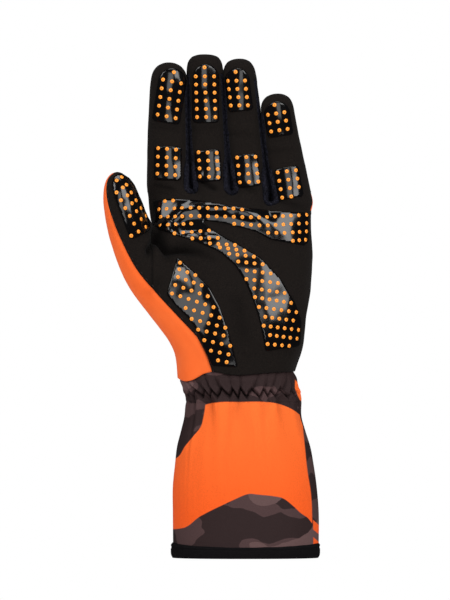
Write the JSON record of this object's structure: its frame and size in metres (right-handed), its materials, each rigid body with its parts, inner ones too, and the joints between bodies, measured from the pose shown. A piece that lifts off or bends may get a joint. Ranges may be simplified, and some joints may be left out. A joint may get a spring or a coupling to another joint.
{
  "type": "karting glove",
  "caption": "Long-cuffed driving glove for the left hand with a suede palm, raised rubber grip patches, a gathered elastic wrist and a flared cloth cuff.",
  "frame": {"origin": "middle of the hem's opening, in the plane of the hem's lower edge, where the hand goes in", "axes": "+Z from the hem to the fingertips, the palm faces -Y, the thumb points to -X"},
  "size_m": [0.1271, 0.0668, 0.2967],
  "materials": {
    "suede": "black synthetic suede, matt",
    "orange_knit": "orange stretch knit, matt",
    "camo_cloth": null,
    "navy_knit": "very dark navy knit, matt",
    "grip_film": "glossy black silicone with raised orange-yellow dots",
    "hem_cloth": "black folded knit band, matt"
  },
  "bodies": {
    "root": {"palm_panel": "suede", "thumb_front": "suede", "thumb_side_panel": "orange_knit", "back_panel": "orange_knit", "index_back": "camo_cloth", "middle_back": "camo_cloth", "ring_back": "camo_cloth", "little_back": "camo_cloth", "wrist_gather": "camo_cloth", "cuff_sleeve": "camo_cloth", "sidewall_index_middle": "navy_knit", "sidewall_middle_ring": "navy_knit", "sidewall_ring_little": "navy_knit", "index_tip_grip": "grip_film", "middle_tip_grip": "grip_film", "ring_tip_grip": "grip_film", "little_tip_grip": "grip_film", "index_pad_grip": "grip_film", "middle_pad_grip": "grip_film", "ring_pad_grip": "grip_film", "little_pad_grip": "grip_film", "palm_grip": "grip_film", "thenar_grip": "grip_film", "thumb_grip": "grip_film", "hem_band": "hem_cloth"}
  },
  "joints": []
}
